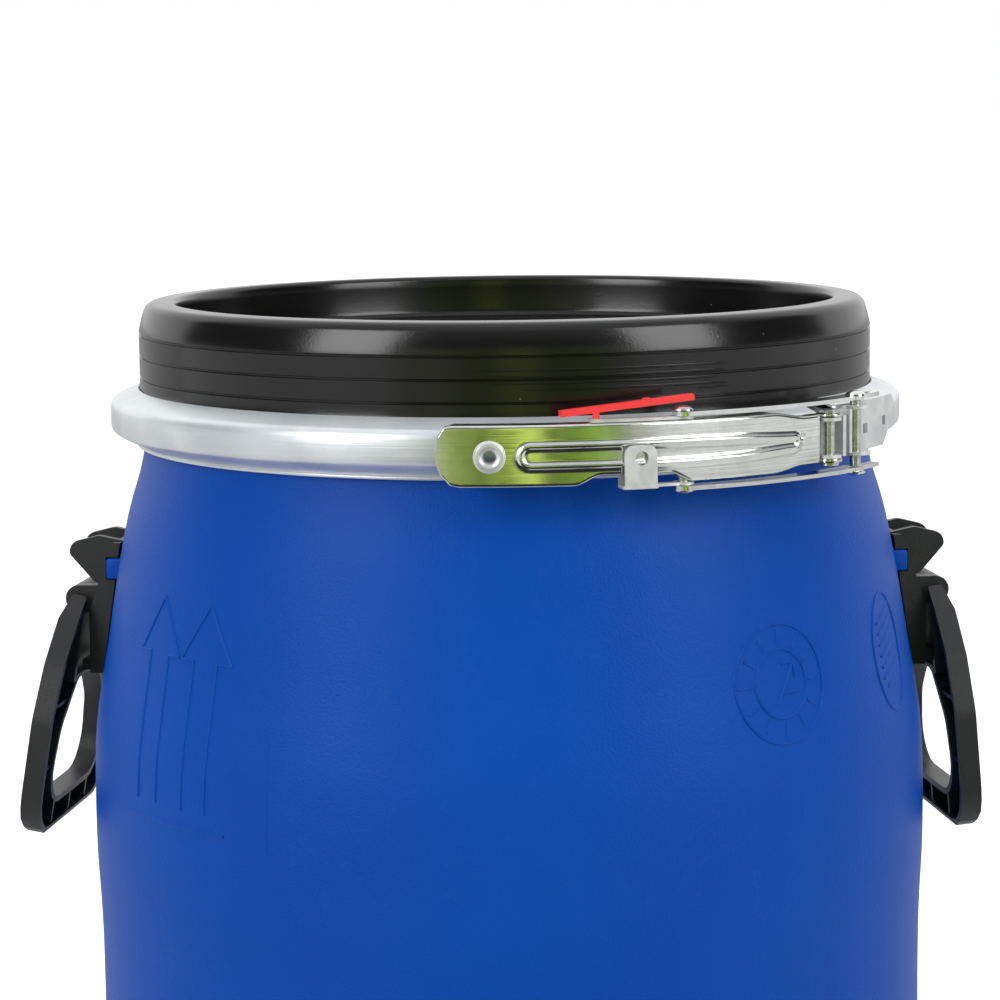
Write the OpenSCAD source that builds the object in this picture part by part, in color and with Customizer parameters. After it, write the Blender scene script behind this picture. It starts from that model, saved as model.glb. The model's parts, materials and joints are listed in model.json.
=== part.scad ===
// Open-top plastic drum with a raised lid, a lever-lock clamp ring and two swing handles.
// Frame: +Z up, origin at the centre of the base, -Y is the side with the lever.
// Angles around the drum are counted from the front (-Y) towards +X.

/* [Drum] */
// Radius of the widest part of the body
body_r = 200; // [190:1:200]
// Radius of the neck under the clamp ring
neck_r = 172.4; // [170:0.1:172.6]
// Wall thickness of the body
wall = 3.5; // [2.5:0.1:4.5]
// Height of the upper sealing face of the body
mouth_z = 576.6; // [576:0.1:576.8]

/* [Lid] */
// Height of the lid's rounded rim above the floor
lid_top = 630; // [628:1:634]
// Radius of the lid's side wall
lid_r = 174; // [173:0.1:174.4]
// Depth of the dish inside the rim
dish_depth = 21; // [15:1:24]
// Wall thickness of the lid
lid_wall = 3; // [2.5:0.1:3.5]

/* [Clamp ring] */
// Radius of the ring's outer face
ring_r = 188; // [187.5:0.1:188.2]
// Sheet thickness of the ring
ring_t = 1.2; // [0.8:0.1:1.3]
// Angle at which the ring's left end stops
ring_left_end = 47.5; // [46.8:0.1:48.5]
// Angle at which the ring's right end starts
ring_right_end = 53; // [52.5:0.1:54]

/* [Lever lock] */
// Height of the middle of the lever
lock_z = 575.3; // [575.2:0.1:575.4]
// Height of the lever's channel
lever_h = 26.6; // [26.4:0.1:26.7]
// Radius of the lever's outer face
lever_r = 196.5; // [196.3:0.1:196.6]
// Sheet thickness of the lever
lever_t = 1.5; // [1.2:0.1:1.6]
// Radius of the pivot pins
pin_r = 2.5; // [2.2:0.1:2.8]
// Radial clearance of the pins in the parts that turn on them
run = 0.06; // [0.03:0.01:0.1]

/* [Handles] */
// Angle of the left handle out from hanging straight down
hang_left = 9.5; // [4.5:0.5:20]
// Angle of the right handle out from hanging straight down
hang_right = 4.5; // [4.5:0.5:20]
// Height of the handle pivots
pivot_z = 484; // [483.5:0.1:484.5]
// Half width of a handle at the grip
grip_half = 60; // [56:1:64]
// How far the handles sit towards the back, in degrees.
back_turn = 8; // [0:0.5:9]

/* [Hidden] */
$fn = 96;

// pivots of the lock: lever on the hinge bracket, link on the lever, link on the draw bracket
p1_a = 46.4; p1_r = 196;
p2_a = 23.2; p2_r = 192;
p3_a = 52.3; p3_r = 196;
lever_lo = lock_z - lever_h / 2;
lever_hi = lock_z + lever_h / 2;
gap = 0.2;
arm_t = 1.3;
link_t = 1.8;
arm_z = lever_hi + gap;
link_z = arm_z + arm_t + gap;
foot_z = lever_lo - gap;
low_link_z = foot_z - arm_t - gap;
lug_t = 1.5;
neck_h = 21.4;
lug_out = lock_z + neck_h / 2;
pivot_x = 208;
dish_z = lid_top - dish_depth;

// a point at angle a and radius r
function at(a, r) = [r * sin(a), -r * cos(a)];

// a smooth curve through stations of [radius, height], two extra points between each pair
function hermite(p0, p1, p2, p3, t) =
    let (m1 = (p2 - p0) / 2, m2 = (p3 - p1) / 2)
    p1 * (2 * t^3 - 3 * t^2 + 1) + m1 * (t^3 - 2 * t^2 + t) + p2 * (3 * t^2 - 2 * t^3) + m2 * (t^3 - t^2);
function smooth(p, n = 3) = let (e = len(p) - 1)
    [for (i = [0 : e - 1]) for (k = [0 : n - 1])
        hermite(p[max(i - 1, 0)], p[i], p[i + 1], p[min(i + 2, e)], k / n), p[e]];

// outline with every corner rounded: corners are [x, y, radius]
function arc_points(c, r, a0, a1, n) = [for (i = [0 : n]) let (a = a0 + (a1 - a0) * i / n) c + r * [cos(a), sin(a)]];
function unit(v) = v / norm(v);
function corner(a, b, c, n = 5) =
    let (p = [b[0], b[1]], u = unit([a[0], a[1]] - p), v = unit([c[0], c[1]] - p), r = b[2],
        h = acos(max(-1, min(1, u * v))) / 2, d = r / tan(h), q = p + unit(u + v) * r / sin(h),
        s = p + u * d - q, e = p + v * d - q, a0 = atan2(s[1], s[0]), a1 = atan2(e[1], e[0]),
        w = ((a1 - a0 + 540) % 360) - 180)
    r < 0.01 ? [p] : arc_points(q, r, a0, a0 + w, n);
function rounded(c) = let (n = len(c))
    [for (i = [0 : n - 1]) each corner(c[(i + n - 1) % n], c[i], c[(i + 1) % n])];

// the ring's section between angles a0 and a1
module sweep(a0, a1) rotate([0, 0, a0 - 90]) rotate_extrude(angle = a1 - a0) children();
// an outline of [along the side, height] pushed outwards from radius r0 to r1
module outward(a, r0, r1) rotate([0, 0, a]) rotate([90, 0, 0]) translate([0, 0, r0]) linear_extrude(r1 - r0) children();
// a shell between two radii and two heights
module band(a0, a1, r0, r1, z0, z1) sweep(a0, a1) translate([r0, z0]) square([r1 - r0, z1 - z0]);
module post(a, r, rad, z0, z1) translate([at(a, r)[0], at(a, r)[1], z0]) cylinder(r = rad, h = z1 - z0);
// a flat disc-ended plate from the ring's side of a pivot out round the pivot
module ear(a, r, rad, z0, z1, inner) {
    post(a, r, rad, z0, z1);
    rotate([0, 0, a]) translate([0.4 - rad, -r, z0]) cube([2 * rad - 0.8, r - inner, z1 - z0]);
}

// ---- drum ----
wall_line = smooth([[body_r - 8, 15], [body_r - 3.4, 45], [body_r - 2, 90], [body_r - 0.6, 140], [body_r, 180],
    [body_r, 215], [body_r - 1.2, 250], [body_r - 1.9, 290], [body_r - 1.8, 325], [body_r - 1.2, 345],
    [body_r - 0.1, 368], [body_r, 398], [body_r - 1.2, 427], [body_r - 4.4, 449], [body_r - 7.8, 468],
    [body_r - 11.2, 489], [body_r - 14.6, 508], [body_r - 18, 525], [body_r - 21, 536.5], [body_r - 25, 549.5], [neck_r, 561]]);

module drum_shell() rotate_extrude($fn = 180) difference() {
    polygon(concat([[0, 0], [44, 0], [49, 5], [152, 5], [158, 0], [176, 0]], arc_points([body_r - 22, 14], 14, -90, 0, 8),
        wall_line, [[neck_r, 565.4], [184.4, 570.6], [184.6, 571.4], [184.6, mouth_z - 0.6], [184, mouth_z],
        [171.4, mouth_z], [170.6, mouth_z + 4], [168.4, mouth_z + 4], [167.6, mouth_z + 3],
        [167.6, 566], [neck_r - wall - 0.4, 560]], [for (i = [len(wall_line) - 1 : -1 : 0]) if (wall_line[i][1] < 555) wall_line[i] - [wall, 0]],
        [[body_r - 24, wall + 4.5], [158, wall + 4], [152, wall + 6.5], [0, wall + 6.5]]));
}

module lug(side) translate([side > 0 ? 182 : -192.6, -25, 494.5]) cube([10.6, 50, 10]);

module drum_body() color([0.05, 0.2, 0.62]) {
    drum_shell();
    for (s = [-1, 1]) rotate([0, 0, s * back_turn]) difference() {
        lug(s);
        translate([s > 0 ? 100 : -200, -17, 480]) cube([100, 34, 40]);
        translate([0, 0, 485]) cylinder(r = 183.6, h = 30);
    }
}

// ---- lid ----
module lid() color([0.03, 0.03, 0.035]) rotate_extrude($fn = 180) {
    difference() {
        polygon(concat(
            [[0, dish_z], [138, dish_z]], arc_points([138, dish_z + 8], 8, -90, -30, 4), [[152.8, lid_top - 13.2], [156.6, lid_top - 3.6]],
            arc_points([159.2, lid_top - 2.7], 2.7, 150, 90, 3), arc_points([lid_r - 7.6, lid_top - 5.4], 5.4, 85, 18, 4),
            [[lid_r - 1.1, lid_top - 8.6], [lid_r, lid_top - 13.4], [lid_r, 586.9], [184.4, 582.9], [184.6, 582.2], [184.6, 580.2], [184, 579.8], [174.8, 579.8], [174.8, 577.4],
            [173.4, 576.9], [172, 577.4], [172, 581.2], [167.4, 581.2], [167.2, 574], [164.2, 571], [163.6, 571]],
            [[163.6, 584], [171 - 0.2, 588], [lid_r - lid_wall, 614]], arc_points([165, lid_top - 8], 5, 40, 90, 4),
            arc_points([162, lid_top - 6], 3, 90, 165, 4), [[155.4, lid_top - 15.1]], arc_points([138, dish_z + 8], 11, -30, -90, 4),
            [[0, dish_z - lid_wall]]));
        // three thin grooves round the wall
        for (z = [595.2, 605.2, 615.2]) translate([lid_r - 0.5, z]) square([1, 0.9]);
    }
}
module lid_gasket() color([0.1, 0.1, 0.1]) rotate_extrude($fn = 180) translate([175.2, mouth_z]) square([7.4, 579.8 - mouth_z]);

// ---- clamp ring ----
ring_face = [[174.8, 589.3], [185.2, 585.7], [187.5, 583.8], [ring_r, 581.8], [ring_r, 573],
    [187.5, 571.2], [185.8, 569.7], [174.8, 563.7]];
module ring_section() {
    polygon(concat(ring_face, [[175.4, 562.7], [174.6, 562.5], [174, 563], [173.9, 563.9], [174.6, 564.8], [185, 570.4],
        [186.3, 571.9], [ring_r - ring_t, 573.4], [ring_r - ring_t, 581.5], [186.3, 582.9], [184.6, 584.6], [175.2, 587.9],
        [174.6, 588.3], [174.3, 588.9], [174.4, 589.5], [174.8, 589.8], [175.3, 589.6]]));
}
module clamp_band() color([0.72, 0.74, 0.76]) sweep(ring_right_end, 360 + ring_left_end) ring_section();

// ---- lock ----
module hinge_bracket() color([0.75, 0.77, 0.78]) difference() {
    union() {
        band(37.5, 50, 188.6, 190.2, lock_z - neck_h / 2 + lug_t + gap, lug_out - lug_t - gap);
        for (z = [lock_z - neck_h / 2 + lug_t + gap, lug_out - lug_t * 2 - gap]) ear(p1_a, p1_r, 5.4, z, z + lug_t, 189);
        // upright wall behind the pin
        band(48.6, 49.3, 189, 198, lock_z - neck_h / 2 + lug_t + gap, lug_out - lug_t - gap);
    }
    post(p1_a, p1_r, pin_r, 540, 610);
    for (a = [40, 43.4]) outward(a, 180, 192) translate([-1.6, lock_z - 1.6]) square(3.2);
}
module draw_plate_outline() polygon(rounded([[-34, -9.6, 1], [-34, 12.6, 1], [27, 12.6, 3], [33, 6, 4], [33, 0, 3], [22, -3, 8], [14, -9.6, 2]]));
module draw_bracket() color([0.75, 0.77, 0.78]) difference() {
    union() {
        intersection() {
            band(50, 72, 188.6, 190.2, 555, 600);
            outward(60.5, 150, 200) translate([0, lock_z]) draw_plate_outline();
        }
        for (z = [lock_z + 11, lock_z - 9.6]) ear(p3_a + 0.6, p3_r - 0.4, 6, z, z + 1.6, 189);
        // upright wall in front of the gap
        band(50.3, 50.9, 190, 197.4, lock_z - 8.2, lock_z + 11.2);
    }
    post(p3_a, p3_r, pin_r, 540, 610);
    for (a = [58.3, 64.9]) outward(a, 180, 195) translate([-2.2, lock_z - 2.2 + (a > 60 ? 1.5 : 0)]) square(4.4);
}

lever_mid = 18;
function lever_s(a) = lever_r * sin(a - lever_mid);
lever_edge = rounded([
    [-88.6, 0, 24], [-82, -lever_h / 2, 3], [lever_s(9), -lever_h / 2, 2], [lever_s(12.2), -lever_h / 2 + 4.2, 2],
    [lever_s(20.6), -lever_h / 2 + 4.2, 2], [lever_s(23.8), -lever_h / 2, 2], [62, -lever_h / 2, 4], [80, -neck_h / 2, 4],
    [88, -neck_h / 2, 0], [88, neck_h / 2, 0], [80, neck_h / 2, 4], [62, lever_h / 2, 4], [-84.5, lever_h / 2, 3]]);
module lever() color([0.8, 0.81, 0.78]) difference() {
    union() {
        intersection() {
            sweep(-10, 44.3) polygon([[187.4, lever_hi], [lever_r - 1, lever_hi], [lever_r - 0.3, lever_hi - 0.3], [lever_r, lever_hi - 1],
                [lever_r, lever_lo + 1], [lever_r - 0.3, lever_lo + 0.3], [lever_r - 1, lever_lo], [187.4, lever_lo], [187.4, lever_lo + lever_t],
                [lever_r - lever_t, lever_lo + lever_t], [lever_r - lever_t, lever_hi - lever_t], [187.4, lever_hi - lever_t]]);
            outward(lever_mid, 150, 205) translate([0, lock_z]) polygon(lever_edge);
        }
        // narrow neck towards the pivot
        for (z = [lock_z - neck_h / 2, lug_out - lug_t]) {
            band(37, 45.4, 191.6, lever_r - 0.2, z, z + lug_t);
            post(p1_a, p1_r, 5.8, z, z + lug_t);
        }
        // long raised bead
        intersection() {
            band(1, 41, lever_r - 0.5, lever_r + 1.1, 560, 590);
            outward(lever_mid, 150, 205) translate([0, lock_z]) difference() {
                polygon(rounded([[-56, -5.4, 5.2], [-56, 5.4, 5.2], [40, 5.4, 8], [76, 3.4, 3.2], [76, -3.4, 3.2], [40, -5.4, 8]]));
                polygon(rounded([[-53.6, -3, 2.8], [-53.6, 3, 2.8], [42, 3, 8], [73.6, 1.2, 1], [73.6, -1.2, 1], [42, -3, 8]]));
            }
        }
    }
    post(p1_a, p1_r, pin_r + run, 540, 610);
    post(p2_a, p2_r, pin_r, 540, 610);
    outward(-2, 180, 200) translate([0, lock_z]) circle(r = 4);
    // slot for the catch's back, and a hole for the seal
    band(13.6, 19.8, 190.4, lever_r - lever_t - 0.4, lever_hi - 3, lever_hi + 2);
    post(11.6, 190.6, 3.6, lever_hi - 3, lever_hi + 2);
}
module lever_pin() color([0.7, 0.72, 0.74]) {
    post(p1_a, p1_r, pin_r, lock_z - neck_h / 2 - 0.2, lug_out + 0.2);
    post(p1_a, p1_r, 4.4, lug_out + 0.15, lug_out + 1.6);
    post(p1_a, p1_r, 4.4, lock_z - neck_h / 2 - 1.6, lock_z - neck_h / 2 - 0.15);
}
module end_rivet() color([0.8, 0.81, 0.8]) rotate([0, 0, -2]) rotate([90, 0, 0]) translate([0, lock_z, 0]) rotate_extrude()
    polygon([[2.6, 192], [4, 192], [4, lever_r + 0.05], [6.8, lever_r + 0.1], [7, lever_r + 0.7], [6, lever_r + 1.7], [4.6, lever_r + 1.9], [3.2, lever_r + 1.2], [2.6, lever_r]]);

// each link plate is flat and curved, from the lever's pivot to the draw bracket's pivot
module link_plate(z) difference() {
    union() {
        band(p2_a, p3_a, 189.6, 198, z, z + link_t);
        post(p2_a, 193.8, 5.2, z, z + link_t);
        post(p3_a, 194.2, 5.2, z, z + link_t);
        band(p3_a - 0.5, 58.5, 191.6, 196.6, z, z + link_t);
    }
    post(p2_a, p2_r, pin_r + run, z - 1, z + 5);
}
module dome(a, r, z, s) translate([at(a, r)[0], at(a, r)[1], z]) rotate([s > 0 ? 0 : 180, 0, 0]) rotate_extrude()
    polygon([[0, 0], [4.6, 0], [4.4, 0.8], [3.4, 1.6], [1.8, 2.1], [0, 2.2]]);
module link_upper() color([0.8, 0.81, 0.8]) { link_plate(link_z); dome(p3_a, p3_r, link_z + link_t - 0.01, 1); }
module link_lower() color([0.8, 0.81, 0.8]) { link_plate(low_link_z - link_t); dome(p3_a, p3_r, low_link_z - link_t + 0.01, -1); }
module link_rivet_upper() color([0.82, 0.83, 0.82]) {
    post(p2_a, p2_r, pin_r, lever_hi - lever_t - 0.1, link_z + link_t + 0.2);
    dome(p2_a, p2_r, link_z + link_t + 0.1, 1);
    post(p2_a, p2_r, 2.85, lever_hi - lever_t - 1, lever_hi - lever_t - 0.02);
}
module link_rivet_lower() color([0.82, 0.83, 0.82]) {
    post(p2_a, p2_r, pin_r, low_link_z - link_t - 0.2, lever_lo + lever_t + 0.1);
    dome(p2_a, p2_r, low_link_z - link_t - 0.1, -1);
    post(p2_a, p2_r, 2.85, lever_lo + lever_t + 0.02, lever_lo + lever_t + 1);
}
module draw_pin() color([0.7, 0.72, 0.74]) post(p3_a, p3_r, pin_r, low_link_z + 0.3, link_z - 0.3);

module safety_catch() color([0.78, 0.8, 0.79]) difference() {
    union() {
        // arm on top of the lever, back inside its channel, foot under it and tab in front
        band(10.6, p2_a, 189.4, 195.6, arm_z, arm_z + arm_t);
        post(p2_a, p2_r, 4.6, arm_z, arm_z + arm_t);
        band(14.4, 18.9, 190.9, 192.2, foot_z - arm_t, arm_z + arm_t);
        band(14.4, 18.9, 190.9, 199.3, foot_z - arm_t, foot_z);
        intersection() {
            band(14.2, 19.2, 198, 199.3, 555, 600);
            outward(16.7, 150, 205) translate([0, lock_z - 13.3]) polygon(rounded([[-7.2, -1.6, 0], [7.2, -1.6, 0], [7.2, 17, 4], [-7.2, 17, 4]]));
        }
        post(p2_a, p2_r, 4.6, foot_z - arm_t, foot_z);
        band(18.8, p2_a, 190.9, 195.2, foot_z - arm_t, foot_z);
    }
    post(p2_a, p2_r, pin_r + run, 540, 610);
    outward(16.8, 193, 205) translate([0, 573.4]) circle(r = 3);
    post(11.6, 190.6, 1.8, arm_z - 1, arm_z + 5);
}
seal_a = 7; seal_b = 24.6;
module tamper_seal() color([0.85, 0.05, 0.08]) {
    // straight bar that rises to the right, with a shank down through the catch's arm
    p = at(seal_a, 190.6); q = at(seal_b, 190.6); w = norm(q - p);
    translate([p[0], p[1], arm_z + arm_t + 1.1]) rotate([0, 0, atan2(q[1] - p[1], q[0] - p[0])]) rotate([0, -5, 0]) {
        translate([0, -2.4, 0]) cube([w + 1, 4.8, 2.6]);
        translate([w * 0.66, 0, 2.5]) cylinder(r = 1.6, h = 0.8);
    }
    post(11.6, 190.6, 1.5, arm_z - 4.4, arm_z + arm_t + 2.6);
    post(11.6, 190.6, 1.7, arm_z - 4.6, arm_z - 3.6);
}

// ---- handles ----
// outline of [along the side, height from the pivot]
handle_edge = rounded([[-23, 3, 3], [23, 3, 3], [34, -7, 8], [50, -28, 16], [grip_half - 1, -54, 20], [grip_half, -113, 22],
    [-grip_half, -113, 22], [1 - grip_half, -54, 20], [-50, -28, 16], [-34, -7, 8]]);
handle_hole = rounded([[-18, -39, 9], [18, -39, 9], [grip_half - 22, -60, 16], [grip_half - 12, -97, 17],
    [12 - grip_half, -97, 17], [22 - grip_half, -60, 16]]);
module handle_core() difference() {
    union() {
        intersection() {
            rotate([90, 0, 90]) translate([0, 0, -5]) linear_extrude(9.9) difference() { polygon(handle_edge); polygon(handle_hole); }
            // side view: thin at the top, full depth below
            rotate([90, 0, 0]) translate([0, 0, -70]) linear_extrude(140) polygon(rounded([[-5, -113, 2], [3.4, -113, 3], [4.9, -104, 8], [4.9, -8, 4], [2, 3, 2], [-5, 3, 2]]));
        }
        rotate([90, 0, 0]) cylinder(r = 6.6, h = 22.8, center = true);
        rotate([90, 0, 0]) cylinder(r = 3, h = 39, center = true);
        translate([0, -11.4, -14]) cube([4.9, 22.8, 14]);
    }
    // room for the bracket behind the web, and round its ears
    translate([-10, -23.2, -37]) cube([7.4, 46.4, 60]);
    for (s = [-1, 1]) translate([-10, s > 0 ? 11.4 : -23.2, -8.2]) cube([30, 11.8, 30]);
}
module handle_shape() {
    difference() {
        handle_core();
        // channel open to the drum
        rotate([90, 0, 90]) translate([0, 0, -5.5]) linear_extrude(6.7) difference() {
            offset(delta = -3) polygon(handle_edge);
            offset(delta = 3) polygon(handle_hole);
            translate([-27, -40]) square([54, 60]);
        }
    }
    rotate([90, 0, 0]) cylinder(r = 6.6, h = 22.8, center = true);
    rotate([90, 0, 0]) cylinder(r = 3, h = 39, center = true);
    // ribs across the channel
    for (s = [-1, 1]) {
        translate([-4, s * 30 - 1, -110.4]) cube([5.5, 2, 11.8]);
        translate([-4, s > 0 ? grip_half - 16.5 : 2.6 - grip_half, -79]) cube([5.5, 13.9, 2]);
        translate([-4, s > 0 ? 30 : -51, -49]) cube([5.5, 21, 2]);
    }
    translate([-4, -1, -110.4]) cube([5.5, 2, 11.8]);
}
module handle_left() color([0.04, 0.04, 0.04]) rotate([0, 0, -back_turn]) mirror([1, 0, 0]) translate([pivot_x, 0, pivot_z]) rotate([0, -hang_left, 0]) handle_shape();
module handle_right() color([0.04, 0.04, 0.04]) rotate([0, 0, back_turn]) translate([pivot_x, 0, pivot_z]) rotate([0, -hang_right, 0]) handle_shape();

module bracket_shape() difference() {
    union() {
        // plate, thicker below the lugs
        rotate([90, 0, 0]) translate([0, 0, -22.6]) linear_extrude(45.2)
            polygon([[186, 512], [190, 512], [196.4, 500], [196.6, 494], [199.4, 486], [202.2, 478], [202.4, 448], [196, 448]]);
        // two upright fins
        for (s = [-1, 1]) translate([0, s * 15 + 2, 0]) rotate([90, 0, 0]) linear_extrude(4)
            polygon(rounded([[184, 512, 1], [198, 514.8, 6], [211.6, 511.4, 5], [213, 506, 3.5], [201, 492.5, 3], [190, 488, 1], [186, 498, 0]]));
        // ears for the handle's stubs
        for (s = [-1, 1]) translate([0, s * 15.6 + 3.8, 0]) {
            translate([pivot_x, 0, pivot_z]) rotate([90, 0, 0]) cylinder(r = 6.6, h = 7.6);
            translate([198, -7.6, pivot_z - 6.6]) cube([pivot_x - 198, 7.6, 13.2]);
        }
        // ledge that the handle hangs against
        translate([196, -19, 449]) cube([11.2, 38, 5]);
    }
    // face that follows the drum
    cylinder_cut();
    // pockets for the drum's lugs, open to the sides
    for (s = [-1, 1]) translate([180, s > 0 ? 16.6 : -30, 494]) cube([13.2, 13.4, 11]);
    translate([pivot_x, 0, pivot_z]) rotate([90, 0, 0]) cylinder(r = 3 + run, h = 60, center = true);
    translate([pivot_x, 0, pivot_z]) rotate([90, 0, 0]) cylinder(r = 7.2, h = 23.4, center = true);
}
module cylinder_cut() rotate_extrude($fn = 180) polygon(concat([[100, 440]], [for (p = wall_line) if (p[1] > 425 && p[1] < 540) p + [0.15, 0]], [[100, 540]]));
module handle_bracket_left() color([0.04, 0.04, 0.04]) rotate([0, 0, -back_turn]) mirror([1, 0, 0]) bracket_shape();
module handle_bracket_right() color([0.04, 0.04, 0.04]) rotate([0, 0, back_turn]) bracket_shape();

drum_body();
lid();
lid_gasket();
clamp_band();
hinge_bracket();
draw_bracket();
lever();
lever_pin();
end_rivet();
link_upper();
link_lower();
link_rivet_upper();
link_rivet_lower();
draw_pin();
safety_catch();
tamper_seal();
handle_bracket_left();
handle_bracket_right();
handle_left();
handle_right();
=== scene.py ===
"""Open-head plastic drum with a raised lid, a lever-lock clamp ring, a tamper seal and two swing handles."""
import json
import math
import bmesh
import bpy
from mathutils import Matrix, Vector

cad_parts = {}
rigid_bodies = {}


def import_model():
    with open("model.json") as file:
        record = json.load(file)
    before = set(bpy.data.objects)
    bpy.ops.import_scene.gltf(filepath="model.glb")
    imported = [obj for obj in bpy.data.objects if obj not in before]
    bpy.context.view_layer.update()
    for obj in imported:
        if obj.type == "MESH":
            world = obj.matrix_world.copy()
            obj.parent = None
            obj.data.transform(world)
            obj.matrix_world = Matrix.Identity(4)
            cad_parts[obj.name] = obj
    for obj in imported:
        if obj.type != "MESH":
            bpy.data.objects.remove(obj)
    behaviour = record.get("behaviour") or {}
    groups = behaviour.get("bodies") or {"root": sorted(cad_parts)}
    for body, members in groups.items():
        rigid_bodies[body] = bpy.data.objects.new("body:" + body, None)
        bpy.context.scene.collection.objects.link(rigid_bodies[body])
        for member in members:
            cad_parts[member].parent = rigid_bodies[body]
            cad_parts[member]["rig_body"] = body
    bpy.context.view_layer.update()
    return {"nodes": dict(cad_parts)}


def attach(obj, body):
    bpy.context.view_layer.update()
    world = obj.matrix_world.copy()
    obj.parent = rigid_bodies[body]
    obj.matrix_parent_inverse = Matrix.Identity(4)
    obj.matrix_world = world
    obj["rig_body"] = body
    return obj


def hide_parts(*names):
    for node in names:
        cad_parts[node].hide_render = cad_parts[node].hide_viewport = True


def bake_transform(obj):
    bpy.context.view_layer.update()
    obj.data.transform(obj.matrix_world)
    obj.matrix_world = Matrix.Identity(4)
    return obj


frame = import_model()
nodes = frame["nodes"]
MM = 0.001
scene = bpy.context.scene
scene.view_settings.view_transform = "Standard"
scene.view_settings.look = "None"

# ------------------------------------------------------------------ materials


def socket(group, name, kind, into=True, value=None):
    """Adds an input or an output to a node group."""
    made = group.interface.new_socket(name=name, in_out="INPUT" if into else "OUTPUT", socket_type=kind)
    if value is not None:
        made.default_value = value


def add(tree, kind, **settings):
    """A new node. Settings that start with in_ set its inputs, and the others set its properties."""
    node = tree.nodes.new(kind)
    for key, value in settings.items():
        if key.startswith("in_"):
            node.inputs[key[3:].replace("_", " ")].default_value = value
        else:
            setattr(node, key, value)
    return node


def ramp(tree, source, stops):
    """A colour ramp from a value, with stops of (position, grey)."""
    node = add(tree, "ShaderNodeValToRGB")
    line = node.color_ramp
    while len(line.elements) < len(stops):
        line.elements.new(0.5)
    for element, (place, grey) in zip(line.elements, stops):
        element.position = place
        element.color = (grey, grey, grey, 1)
    tree.links.new(source, node.inputs["Fac"])
    return node.outputs["Color"]


def math_node(tree, operation, a, b):
    """The result of one sum. Each side is a number or another node's output."""
    node = add(tree, "ShaderNodeMath", operation=operation)
    for slot, value in zip(node.inputs, (a, b)):
        if isinstance(value, (int, float)):
            slot.default_value = value
        else:
            tree.links.new(value, slot)
    return node.outputs["Value"]


def moulded_grain():
    """Fine moulded grain with a slow ripple. Puts out a height and a mottle mask."""
    group = bpy.data.node_groups.new("moulded_grain", "ShaderNodeTree")
    socket(group, "Vector", "NodeSocketVector")
    socket(group, "Grain Scale", "NodeSocketFloat", value=1400.0)
    socket(group, "Ripple Scale", "NodeSocketFloat", value=14.0)
    socket(group, "Ripple Share", "NodeSocketFloat", value=0.5)
    socket(group, "Height", "NodeSocketFloat", into=False)
    socket(group, "Mottle", "NodeSocketFloat", into=False)
    start, end = add(group, "NodeGroupInput"), add(group, "NodeGroupOutput")
    fine = add(group, "ShaderNodeTexNoise", in_Detail=2.0, in_Roughness=0.6)
    slow = add(group, "ShaderNodeTexNoise", in_Detail=3.0, in_Roughness=0.5)
    for texture, scale in ((fine, "Grain Scale"), (slow, "Ripple Scale")):
        group.links.new(start.outputs["Vector"], texture.inputs["Vector"])
        group.links.new(start.outputs[scale], texture.inputs["Scale"])
    ripple = math_node(group, "MULTIPLY", slow.outputs["Fac"], start.outputs["Ripple Share"])
    group.links.new(math_node(group, "ADD", fine.outputs["Fac"], ripple), end.inputs["Height"])
    group.links.new(slow.outputs["Fac"], end.inputs["Mottle"])
    return group


def dust_and_wear():
    """Dust specks and fine scratches. Puts out a mask of each."""
    group = bpy.data.node_groups.new("dust_and_wear", "ShaderNodeTree")
    socket(group, "Vector", "NodeSocketVector")
    socket(group, "Speck Scale", "NodeSocketFloat", value=160.0)
    socket(group, "Speck Size", "NodeSocketFloat", value=0.09)
    socket(group, "Specks", "NodeSocketFloat", into=False)
    socket(group, "Scratches", "NodeSocketFloat", into=False)
    start, end = add(group, "NodeGroupInput"), add(group, "NodeGroupOutput")
    cells = add(group, "ShaderNodeTexVoronoi", in_Randomness=1.0)
    group.links.new(start.outputs["Vector"], cells.inputs["Vector"])
    group.links.new(start.outputs["Speck Scale"], cells.inputs["Scale"])
    near = math_node(group, "LESS_THAN", cells.outputs["Distance"], start.outputs["Speck Size"])
    few = add(group, "ShaderNodeSeparateColor")
    group.links.new(cells.outputs["Color"], few.inputs["Color"])
    kept = math_node(group, "GREATER_THAN", few.outputs["Red"], 0.8)
    group.links.new(math_node(group, "MULTIPLY", near, kept), end.inputs["Specks"])
    bent = add(group, "ShaderNodeTexNoise", in_Scale=9.0, in_Detail=5.0, in_Roughness=0.6, in_Distortion=1.6)
    group.links.new(start.outputs["Vector"], bent.inputs["Vector"])
    line = math_node(group, "ABSOLUTE", math_node(group, "SUBTRACT", bent.outputs["Fac"], 0.5), 0.0)
    group.links.new(ramp(group, line, [(0.0, 1.0), (0.0035, 0.0)]), end.inputs["Scratches"])
    return group


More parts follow.
